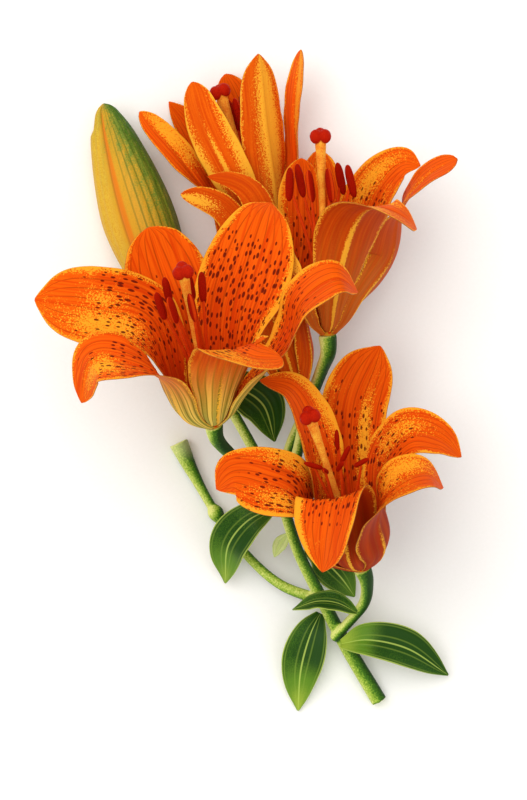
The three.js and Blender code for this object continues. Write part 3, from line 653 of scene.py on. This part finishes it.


# Each flower: the turn of its first tepal, which whorl comes first, the width of its bowl, how
# green the outside of its bowl is, how much painted shade darkens its tepals, most on their
# outside, and its tepals from the front round to the right.
FLOWERS = {
    "left_flower": dict(spin=12, first=0, bowl=11, green=1.0, ember=0.1, tepals={
        "front": tepal(27.5, [(-9.5, 0, 75.3), (-7.5, 7.5, 83), (-6, 11, 89), (-3, 10.2, 94.5),
                              (3, 8.3, 96), (12, 7.8, 92)],
                       outline=BLUNT, spots=(0.5, 0.8), gold=[(0.7, -0.5, 0.2, 0.5, 0.9)]),
        "right": tepal(25, [(14, 14, 72.8), (19.5, 28.5, 80), (31.5, 36.5, 82), (39, 31.5, 75)],
                       twist=(0, 0, 20, 40),
                       gold=[(0.55, 0.9, 0.25, 0.25, 0.8), (0.25, 0.5, 0.2, 0.4, 0.5)]),
        "big": tepal(33, [(-5, 24.5, 53.5), (1, 44, 54), (5.5, 58.5, 51), (8, 64, 45)],
                     roll=(50, 38, 12, 5), twist=(0, 11, 38, 38), spots=(0.3, 0.78), dots=1.2,
                     gold=[(0.45, -0.95, 0.3, 0.2, 0.7), (0.5, 0.95, 0.2, 0.15, 0.6)]),
        "upper": tepal(31, [(-24.5, 22.5, 49), (-31, 40.5, 50), (-36, 55, 54)],
                       roll=(50, 32, 15, 6), outline=BLUNT, spots=(0.35, 0.68), dots=0.8,
                       gold=[(0.62, 0.9, 0.14, 0.25, 0.9)]),
        "left": tepal(30, [(-37, 21, 65.5), (-56.5, 26.5, 70), (-76.5, 29, 70)],
                      twist=(0, -5, -35, -40), outline=POINTED, spots=(0.35, 0.72), dots=1.1,
                      gold=[(0.68, 0.45, 0.22, 0.5, 1.05), (0.72, -0.2, 0.1, 0.25, 0.8)]),
        "low_left": tepal(25, [(-31, 1, 83), (-43, 6, 89), (-55, 6.5, 88), (-59.5, -8, 80)],
                          twist=(0, 0, -42, -90), outline=LATE, spots=(0.4, 0.75), dots=0.9,
                          gold=[(0.8, 0.3, 0.16, 0.5, 0.9), (0.6, 0.3, 0.15, 0.3, 0.4)]),
    }),
    "top_flower": dict(spin=-20, first=1, bowl=5, green=0.1, ember=0.1, tepals={
        "front": tepal(16.8, [(-6.8, 74.5, 28), (-15.6, 92.5, 29), (-20.4, 108, 27)],
                       outline=BLUNT,
                       gold_outside=[(0.5, -0.85, 0.35, 0.35, 1.1), (0.52, 0.85, 0.35, 0.35, 1.1),
                                     (0.5, 0, 0.25, 0.1, 1.5)]),
        "tall": tepal(21, [(8.5, 73.5, 20.5), (5.5, 96, 23.5), (3.5, 118.3, 24)],
                      outline=POINTED, gold_outside=[(0.7, 0.2, 0.5, 0.55, 1.3)]),
        "right": tepal(14, [(17.3, 73, 15), (16.5, 98, 17.5), (19, 120, 18)],
                       twist=(0, 6, 14, 16), outline=STRAP, dots=0,
                       gold=[(0.85, -0.4, 0.3, 0.5, 1.2)],
                       gold_outside=[(0.85, -0.4, 0.25, 0.4, 1.2)]),
        "back": tepal(18, [(3, 82, 4), (-4, 100.5, 4.3), (-8.5, 111.5, 5.3)],
                      outline=BLUNT, dots=0.5),
        "back_left": tepal(15, [(-11.5, 76.5, 1.1), (-21.5, 92.5, 1.8), (-29, 101.5, 3.9)],
                           roll=(50, 30, 5, 5), twist=(0, -20, -40, -40),
                           gold=[(0.6, -0.3, 0.2, 0.6, 0.6)]),
        "left": tepal(12, [(-15.5, 69, 14.3), (-27.5, 84.5, 17.3), (-39.5, 97.5, 18)],
                      twist=(0, 5, -60, -80), outline=STRAP, dots=0,
                      gold=[(0.83, -0.5, 0.18, 0.6, 1.2)],
                      gold_outside=[(0.75, 0, 0.35, 0.6, 1.1)]),
    }),
    "right_flower": dict(spin=15, first=0, bowl=10.5, green=0.12, ember=0.55, tepals={
        "front": tepal(26.5, [(34.3, 45, 58), (37.8, 55.5, 67), (42, 61, 75), (47, 61.8, 81),
                              (52.5, 60, 82.5), (57, 57, 80.5), (60, 54, 77)],
                       twist=(0, 0, 0, 10, 35), wave=0.3,
                       gold=[(0.72, -0.5, 0.2, 0.4, 1), (0.8, 0.6, 0.12, 0.3, 0.9)],
                       gold_outside=[(0.4, 0, 0.35, 0.07, 1.5)]),
        "right": tepal(27, [(51, 44, 36.2), (54.2, 60.5, 44.6), (64, 73.3, 53), (75, 79.5, 56)],
                       twist=(0, -22, -5, 28), outline=NARROW,
                       gold=[(0.6, 0, 0.3, 0.5, 0.7)]),
        "right_back": tepal(24, [(40, 52.5, 30), (47, 70.5, 34), (55.5, 78.5, 38), (62, 77.5, 39)],
                            gold=[(0.75, 0.4, 0.2, 0.4, 1), (0.55, -0.6, 0.2, 0.3, 0.9)]),
        "back": tepal(17, [(27, 58, 18.5), (26, 73, 18), (25.2, 83.5, 20.5)],
                      outline=BLUNT, gold=[(0.9, 0, 0.15, 0.5, 0.7)]),
        "left": tepal(18, [(18.5, 52.5, 31), (18.5, 69, 30.5), (19, 80.3, 32)],
                      twist=(0, -25, -50, -55), outline=BLUNT,
                      gold=[(0.7, 0.9, 0.3, 0.3, 0.9)]),
        "low_left": tepal(15, [(13.5, 39.5, 47.5), (9.5, 49, 44), (5, 53, 42)], wave=0.2,
                          gold=[(0.8, 0, 0.2, 0.5, 0.7)], gold_outside=[(0.6, 0.7, 0.3, 0.3, 1)]),
    }),
    "low_flower": dict(spin=-18, first=0, bowl=11.5, green=0.0, ember=0.9, tepals={
        "front": tepal(28.5, [(32, -45, 69), (30, -42.5, 75), (27.5, -54, 78.5), (26.5, -68.5, 74)],
                       wave=0.3, spots=(0.42, 0.72), dots=1.1,
                       gold=[(0.55, 0, 0.09, 0.9, 1), (0.72, -0.9, 0.3, 0.16, 1.1)]),
        "low_right": tepal(26, [(46.3, -50.9, 62.4), (47.4, -44.6, 67.5), (50.6, -39.2, 71),
                                (57.8, -34.2, 72), (64.2, -33.5, 70), (69.7, -38.5, 65)],
                           twist=(0, 5, 40, 60), outline=FULL, spots=(0.35, 0.65),
                           dots=0.9, gold=[(0.75, 0.5, 0.2, 0.5, 1), (0.5, -0.7, 0.25, 0.4, 0.9)]),
        "right": tepal(20.5, [(49.3, -28.7, 48.8), (58, -18.8, 55), (69, -21, 53),
                              (76.5, -27.5, 50)],
                       twist=(0, 0, 10, 10), spots=(0.35, 0.68), dots=0.8,
                       gold=[(0.65, 0.3, 0.18, 0.5, 0.8)]),
        "upper": tepal(25.5, [(37.5, -28.5, 36), (39, -7, 36), (47.5, 12.5, 37)],
                       outline=POINTED, spots=(0.35, 0.72), dots=0.8,
                       gold=[(0.55, -0.35, 0.25, 0.22, 1.2), (0.6, 0.7, 0.15, 0.2, 0.5)]),
        "upper_left": tepal(20, [(26, -28.5, 49.5), (22, -12.5, 51), (15.5, -2.5, 52), (4, 0, 52)],
                            spots=(0.3, 0.62), dots=0.7,
                            gold=[(0.45, 0.1, 0.2, 0.4, 0.8), (0.75, -0.8, 0.2, 0.4, 1)]),
        "left": tepal(27, [(16.5, -41, 61), (7, -36.5, 64), (-5, -34, 62), (-11.5, -39, 57)],
                      twist=(0, 0, -25, -70, -85), wave=0.3, spots=(0.42, 0.75),
                      gold=[(0.62, 0.45, 0.16, 0.4, 0.9), (0.66, -0.75, 0.15, 0.25, 0.9),
                            (0.5, 0.95, 0.3, 0.2, 0.9)]),
    }),
    "hidden_flower": dict(spin=0, first=0, bowl=7, green=0.0, ember=0.35, tepals={
        "front": tepal(15, [(4.8, 38, 38.4), (5, 58, 41), (0.7, 68, 40.7), (-6, 72.3, 39),
                            (-14.8, 73.6, 37)],
                       roll=(50, 50, 40, 15), outline=TUBE),
        "front_right": tepal(14, [(16, 36, 29.5), (10, 51, 28.5), (5.5, 58, 28)],
                             roll=(50, 35, 20, 10), outline=EARLY),
        "back_right": tepal(11, [(12, 38, 23.5), (6, 50.5, 23.5), (0, 58.5, 24)],
                            roll=(50, 50, 45, 20), outline=TUBE),
        "back": tepal(10.7, [(5, 38, 18.5), (-3, 52, 19.7), (-9, 60, 20.5)],
                      roll=(50, 35, 20, 10), outline=TUBE),
        "left": tepal(13, [(-4.8, 38, 24.2), (-8, 55, 27.5), (-14, 70, 29)],
                      roll=(50, 50, 45, 20), twist=(0, -22, -42, -45), outline=TUBE),
        "front_left": tepal(11.5, [(-5, 39, 31), (-4, 54, 34), (-9, 62, 34.5), (-16.5, 65.8, 34),
                                   (-24.5, 67.3, 32.5)],
                            roll=(50, 35, 20, 10), twist=(0, 30, 60, 60), outline=STRAP,
                            gold=[(0.95, 0, 0.12, 0.6, 0.9)],
                            gold_outside=[(0.95, -0.3, 0.12, 0.6, 1.2)]),
    }),
}


def flower_axes(flower):
    """The flower's base, its own ways up, front and right, and the way out at a turn."""
    base, axis = FLOWER_SEATS[flower][:2]
    up = unit(np.array(axis, float))
    front, right = ways_round(up)

    def out_at(degrees):
        turn = math.radians(degrees)
        return front * math.cos(turn) + right * math.sin(turn)

    return np.array(base, float), up, front, right, out_at


def tepal_surface(axes, bowl, turn, whorl, shape):
    """The places on a tepal, for t from its claw to its tip and s across, and its length."""
    base, up, *_, out_at = axes
    out = out_at(turn)
    claw = base + out * CLAW_RADIUS[whorl] + up * CLAW_RISE[whorl]
    spread = bowl + whorl * BOWL_LAP - CLAW_RADIUS[whorl]
    low = claw + out * 0.45 * spread + up * (BOWL_STEPS[0] - CLAW_RISE[whorl])
    high = claw + out * spread + up * (BOWL_STEPS[1] - CLAW_RISE[whorl])
    places = smooth_route([claw, low, high, *shape["route"]], 201)
    ahead = unit(np.gradient(places, axis=0))
    side = out_at(turn + 90)
    sides = []
    for way in ahead:
        side = unit(side - side @ way * way)
        sides.append(side)
    sides = np.array(sides)
    width = shape["width"]
    phase = width * 7.3 + turn

    def surface(t, s):
        way = unit(rows_at(ahead, t))
        across = spun(unit(rows_at(sides, t)), way, smooth(shape["twist"], t))
        normal = np.cross(way, across)
        half = width / 2 * smooth(shape["outline"], t) * rounded_off(t, *TEPAL_ROUND_TIP)
        roll = np.radians(smooth(shape["roll"], t)) + 1e-6
        swing = np.sin(math.pi * t)
        wave = shape["wave"] * s**2 * np.sin(t * 13 + s * 1.3 + width) * swing
        ruffle = RUFFLE_HEIGHT * s**4 * np.sin(t * 44 + s * 2 + phase) * swing
        channel = -CHANNEL_DEPTH * np.exp(-((s * half / CHANNEL_WIDTH) ** 2))
        channel = channel * ramp(t, 0.02, 0.15) * ramp(t, 1, 0.85)
        lift = half * (1 - np.cos(roll * s)) / roll + wave + ruffle + channel
        bend = (half * np.sin(roll * s) / roll)[:, None]
        return rows_at(places, t) + across * bend + normal * lift[:, None]

    length = np.linalg.norm(np.diff(places, axis=0), axis=1).sum()
    return surface, length


def patches(spread, t, s):
    """How much gold lies at each place of a blade, from its list of patches."""
    total = np.zeros(len(t))
    for along, across, reach, width, strength in spread:
        fall = ((t - along) / reach) ** 2 + ((s - across) / width) ** 2
        total = np.maximum(total, strength * np.exp(-fall))
    return total


def tepal_wires(place):
    """The wires that both faces of a tepal start from."""
    across = read_mark(place, "across")
    own = read_mark(place, "own")
    along = read_mark(place, "along_mm") + own * 7.3
    out = read_mark(place, "out_mm") + own * 3.1
    flat = place.node("ShaderNodeCombineXYZ", inputs={0: along, 1: out, 2: 0.0})
    grain = place.noise(1900, rough=0.7)
    streak = flat.noise(1.0, detail=3, stretch=(0.03, 1.15, 1.0))
    return across, read_mark(place, "share"), flat, grain, streak


def stippled(gold, grain):
    """Fine gold dots, which stand closer together where there is more gold."""
    return (gold + (grain - 0.5) * 2.4).step(0.38, 0.62) * gold.step(0.03, 0.25)


WARM_SHEEN = hue("ffb060")
inner_face, shader, place = finish_named("tepal_inner_face")
across, share, flat, grain, streak = tepal_wires(place)
cloud = place.noise(75, detail=3)
edge = (abs(across) + (cloud - 0.5) * 0.3).step(0.78, 1.05)
gold = read_mark(place, "gold") * 0.72 + edge * 0.8 + cloud.step(0.5, 0.8) * 0.22
orange = (streak + (share - 0.5) * 0.25).step(0.3, 0.75).mix(hue("cf3a04"), hue("ea5d0a"))
# Painted shade: the darker red that stands for a flower in shade also falls a little on the inner
# faces.
orange = (read_mark(place, "ember") * 0.2).mix(orange, hue("b42a05"))
# Painted shade: the inner face darkens to a deep red towards the claw, down in the bowl.
shaded_throat = (share.step(0.45, 0.05) * 0.8).mix(orange, hue("a82406"))
vein = ridges(across, 8).step(0.88, 1.0) * streak.step(0.3, 0.55)
veined = (vein * 0.55).mix(shaded_throat, hue("8c2405"))
golden = (stippled(gold, grain) * 0.8).mix(veined, hue("f5a927"))
# Each cell of the spot pattern draws a lot, and bears its dark spot if the lot is low enough.
cells = flat.stretched((0.26, 0.6, 0))
spot, drawn = (
    cells.node("ShaderNodeTexVoronoi", {"voronoi_dimensions": "2D"},
               {"Vector": cells, "Scale": 1.0, "Randomness": 0.8}, output)
    for output in ("Distance", "Color")
)
lot = drawn.node("ShaderNodeSeparateColor", {}, {0: drawn})
bears_spot = (read_mark(place, "spots") - lot).step(-0.03, 0.03)
spotted = (spot - lot * 0.16).step(0.2, 0.12) * bears_spot
fit(shader, Base_Color=(spotted * 0.92).mix(golden, hue("5c0c08")), Roughness=0.55 + grain * 0.12,
    Specular_IOR_Level=0.1, Specular_Tint=WARM_SHEEN,
    relief=streak * 0.7 + grain * 0.2 + spotted * 0.3, strength=0.35)

outer_face, shader, place = finish_named("tepal_outer_face")
across, share, flat, grain, streak = tepal_wires(place)
ember, green = read_mark(place, "ember"), read_mark(place, "green")
ribbing = ridges(across, 4)
plain = (streak + (grain - 0.5) * 0.3).step(0.3, 0.75).mix(hue("d04606"), hue("e8640c"))
# Painted shade: the darker red that stands for a flower in shade, strongest on the outer faces.
dark = (ember * (0.75 + ribbing * 0.25)).mix(plain, hue("8c1c03"))
bowl = share.step(0.62, 0.12)
olive = (ribbing.step(0.15, 0.8) + (grain - 0.5) * 0.5).mix(hue("a3983a"), hue("e8c455"))
greened = (green * bowl).mix(dark, olive)
lines = ridges(across, 9).step(0.72, 1.0) * (green * 0.75 + 0.1) * share.step(0.7, 0.2)
lined = lines.mix(greened, hue("6b5f10"))
from_midrib = abs(across)
gold = read_mark(place, "gold_outside") * 0.78 + from_midrib.step(0.8, 1.05) * 0.8
gold = gold + from_midrib.step(0.12, 0.02) * bowl * 0.8
golden = (stippled(gold, grain) * 0.85).mix(lined, hue("f2b031"))
fit(shader, Base_Color=golden, Roughness=0.55 + grain * 0.12,
    Specular_IOR_Level=0.07, Specular_Tint=WARM_SHEEN,
    relief=streak * 0.7 + grain * 0.2 + ribbing * 0.3, strength=0.35)

tepal_rim, shader, place = finish_named("tepal_rim")
rim_colour = place.noise(2300).mix(hue("8c3f0c"), hue("c4701c"))
fit(shader, Base_Color=rim_colour, Roughness=0.55, Specular_IOR_Level=0.2)
tepal_faces = [inner_face, outer_face, tepal_rim]

for number, (flower, facts) in enumerate(FLOWERS.items()):
    axes = flower_axes(flower)
    for k, (name, shape) in enumerate(facts["tepals"].items()):
        whorl = (k + facts["first"]) % 2
        turn = facts["spin"] + k * WHORL_TURN
        surface, length = tepal_surface(axes, facts["bowl"], turn, whorl, shape)
        node = f"{flower}_tepal_{name}"
        petal, t, s = thin_blade(node + "_petal", surface, steps=84, thickness=TEPAL_THICKNESS,
                                 finishes=tepal_faces, rim_share=0.35)
        half = shape["width"] / 2 * smooth(shape["outline"], t)
        first, last = shape["spots"]
        spots = ramp(t, first - 0.1, first + 0.05) * ramp(t, last + 0.12, last - 0.08)
        spots = spots * ramp(np.abs(s), 1.0, 0.8) * shape["dots"] * 0.85
        mark(petal.data, across=s, share=t, along_mm=t * length, out_mm=s * half,
             own=number * 10.0 + k, gold=patches(shape["gold"], t, s),
             gold_outside=patches(shape["gold_outside"], t, s),
             spots=spots, ember=facts["ember"], green=facts["green"])
        belongs(petal, "tepal", node)


# The stamens. Six slender red filaments stand on a low ring round the ovary, and each carries a
# dark ripe anther by its middle, with a lighter furrow down its length where it will split.
FILAMENT_RING_RADIUS = 2.9
FILAMENT_RING_HEIGHT = 1.4
FILAMENT_SEAT = 2.45
FILAMENT_RADIUS = 0.7
FILAMENT_TAPER = (0.9, 1, 0.6)
ANTHER_LENGTH = 12.5
ANTHER_RADIUS = 1.7
# Each flower: how high its anthers stand, where each is, to the right and to the front,
# how far it tilts outwards, and its size beside a full grown one.
STAMENS = {
    "left_flower": (56, [(1.5, 5), (6.5, -6), (2.5, -8), (-6, -8), (-9.5, 0), (-5.5, 4)],
                    (0, 10, 0, 0, 5, 5), 1),
    "top_flower": (60, [(-2.5, 4.5), (5, 3), (7.5, -1), (3, -5), (-3, -5), (-6, 0)],
                   (0, 5, 5, 0, 0, 5), 1),
    "right_flower": (56, [(3.5, 5), (11.2, 0), (7.5, -5), (-7, -5), (-11, 0), (-3.5, 5)],
                     (-8, -10, -10, 10, -4, 8), 1),
    "low_flower": (51, [(4.4, 5), (12, 6.9), (7.5, -0.5), (6.5, -10), (-4.5, -0.4), (-1.2, 4.8)],
                   (40, 60, 40, 30, 50, 40), 0.62),
    "hidden_flower": (46, [(0, 3.6), (3.1, 1.8), (3.1, -1.8), (0, -3.6), (-3.1, -1.8), (-3.1, 1.8)],
                      (0,) * 6, 1),
}


def anther_mesh(centre, along, out, size):
    """A long grain-like body with one furrow on the side that looks away from the style."""
    bm = bmesh.new()
    bmesh.ops.create_uvsphere(bm, u_segments=28, v_segments=22, radius=1)
    side = np.cross(along, out)
    for vert in bm.verts:
        x, y, z = vert.co
        turn = math.atan2(x, y)
        body = (1 - abs(z) ** 3) ** 0.5 / max(math.hypot(x, y), 1e-6) if abs(z) < 0.999 else 1
        pinch = 1 - 0.3 * math.exp(-((turn / 0.3) ** 2)) * (1 - z * z)
        width = size * ANTHER_RADIUS * 0.95 * body * pinch
        middle = centre + along * z * size * ANTHER_LENGTH / 2
        vert.co = (middle + out * y * width + side * x * width * 0.85) * MM
    bmesh.ops.recalc_face_normals(bm, faces=bm.faces)
    mesh = made_mesh("anther", bm)
    rows = read_rows(mesh.vertices, "co") / MM - centre
    mark(mesh, furrow=np.exp(-((np.arctan2(rows @ side, rows @ out) / 0.45) ** 2)))
    return mesh


anther_skin, shader, place = finish_named("anther_skin")
pollen = place.noise(2600, detail=3)
dark_red = pollen.mix(hue("740602"), hue("b01a05"))
furrow = read_mark(place, "furrow").step(0.25, 0.8)
fit(shader, Base_Color=(furrow * 0.75).mix(dark_red, hue("d8440e")), Roughness=0.65,
    Specular_IOR_Level=0.06, Specular_Tint=WARM_SHEEN, relief=pollen, strength=0.5)
filament_skin, shader, place = finish_named("filament_skin")
tint = place.noise(300)
red = tint.mix(hue("b92506"), hue("dc4a10"))
fit(shader, Base_Color=read_mark(place, "ring").mix(red, hue("c9861f")), Roughness=0.5,
    Specular_IOR_Level=0.1, Specular_Tint=WARM_SHEEN, relief=tint, strength=0.1)

for flower, (height, places, tilts, size) in STAMENS.items():
    base, up, front, right, out_at = flower_axes(flower)
    seat = base + up * SEAT_GAP
    ring_top = seat + up * FILAMENT_RING_HEIGHT
    meshes = [rod([seat, ring_top], [FILAMENT_RING_RADIUS] * 2, count=4, roundness=6)]
    anthers = []
    for k, (to_right, to_front) in enumerate(places):
        out = out_at(FLOWERS[flower]["spin"] + k * WHORL_TURN)
        foot = seat + up * FILAMENT_RING_HEIGHT / 2 + out * FILAMENT_SEAT
        top = seat + up * height + right * to_right + front * to_front
        third_way = foot + up * height * 0.36
        third_way = third_way + (top - third_way) * 0.12
        radii = [FILAMENT_RADIUS * share for share in FILAMENT_TAPER]
        meshes.append(rod([foot, third_way, top], radii, count=40, roundness=3))
        away = unit(right * to_right + front * to_front)
        tilt = math.radians(tilts[k])
        along = unit(up * math.cos(tilt) + away * math.sin(tilt))
        square = unit(away - away @ along * along)
        anthers.append(anther_mesh(top, along, square, size))
    bm = bmesh.new()
    for mesh in meshes:
        bm.from_mesh(mesh)
    filament_faces = len(bm.faces)
    for mesh in anthers:
        bm.from_mesh(mesh)
    bm.faces.ensure_lookup_table()
    for face in bm.faces[filament_faces:]:
        face.material_index = 1
    piece = placed(flower + "_filaments", made_mesh(flower + "_filaments", bm))
    mark(piece.data, ring=np.arange(len(piece.data.vertices)) < len(meshes[0].vertices))
    piece.data.materials.append(filament_skin)
    piece.data.materials.append(anther_skin)
    piece.data.shade_smooth()
    belongs(piece, "stamen", flower + "_stamens")


# The pistil. A green ovary stands in the middle of the flower under a golden style, which widens
# into a dark red stigma of three rounded lobes. It grows as one body.
OVARY_LENGTH = 22
OVARY_RADIUS = 1.5
OVARY_SWELL = (0.8, 1, 1, 0.9, 0.6)
STYLE_RADII = (0.96, 1.2, 1.32, 2.2)
STIGMA_LOBE_RADIUS = 2.3
STIGMA_LOBE_STRETCH = 1.15
STIGMA_LOBE_TURNS = (60, 180, 300)
# Each flower: the length of its pistil, and how far its stigma leans to the right and the front.
PISTILS = {
    "left_flower": (68, (1, 1)),
    "top_flower": (68.5, (1.5, 2)),
    "right_flower": (72, (1, 2)),
    "low_flower": (71, (0, -1)),
    "hidden_flower": (54, (0, 0)),
}

pistil_skin, shader, place = finish_named("pistil_skin")
grain = place.noise(2200, detail=3)
flush = (grain * 0.6 + place.noise(260) * 0.5).step(0.35, 0.75)
style = flush.mix(hue("e0661a"), hue("f6b53c"))
ovary = grain.mix(hue("6f9a2a"), hue("a9c04a"))
lower = read_mark(place, "height").step(-0.06, 0.02).mix(ovary, style)
stigma = grain.mix(hue("8c0c04"), hue("c4220a"))
fit(shader, Base_Color=read_mark(place, "lobe").mix(lower, stigma), Roughness=0.55,
    Specular_IOR_Level=0.08, Specular_Tint=WARM_SHEEN, relief=grain, depth=0.0003)


def pistil_places(axes, length, lean, shares):
    """Places at these shares of a pistil's length, which leans more and more towards its end."""
    base, up, front, right, _ = axes
    foot = SEAT_GAP * 2 + FILAMENT_RING_HEIGHT
    aside = right * lean[0] + front * lean[1]
    return [base + up * (foot + share * length) + aside * share * share for share in shares]


for flower, (length, lean) in PISTILS.items():
    axes = flower_axes(flower)
    _, up, front, right, out_at = axes
    neck = OVARY_LENGTH / length
    ovary_line = pistil_places(axes, length, lean, (0, neck / 2, neck))
    style_line = pistil_places(axes, length, lean, (neck * 0.9, neck, 0.65, 1))
    foot, end = ovary_line[0], style_line[-1]
    meshes = [rod(ovary_line, [OVARY_RADIUS * share for share in OVARY_SWELL], count=40),
              rod(style_line, STYLE_RADII, count=60)]
    for turn in STIGMA_LOBE_TURNS:
        bm = bmesh.new()
        bmesh.ops.create_uvsphere(bm, u_segments=24, v_segments=16, radius=STIGMA_LOBE_RADIUS * MM)
        middle = end + out_at(turn) * STIGMA_LOBE_RADIUS * 0.8
        for vert in bm.verts:
            x, y, z = np.array(vert.co)
            vert.co = middle * MM + right * x + front * y + up * z * STIGMA_LOBE_STRETCH
        meshes.append(made_mesh("lobe", bm))
    piece = grown_together(flower + "_style", meshes, voxel=0.27, passes=2)
    rows = read_rows(piece.data.vertices, "co") / MM
    mark(piece.data, height=((rows - foot) @ up - OVARY_LENGTH) / length)
    above = (rows - end) @ up
    off = np.linalg.norm(np.cross(rows - end, up), axis=1)
    underside = ramp(above, -2.7, -2.2) * ramp(off, 2.0, 2.5)
    mark(piece.data, lobe=np.maximum(underside, ramp(above, 0.3, 0.8)))
    piece.data.materials.append(pistil_skin)
    belongs(piece, "pistil", flower + "_pistil")
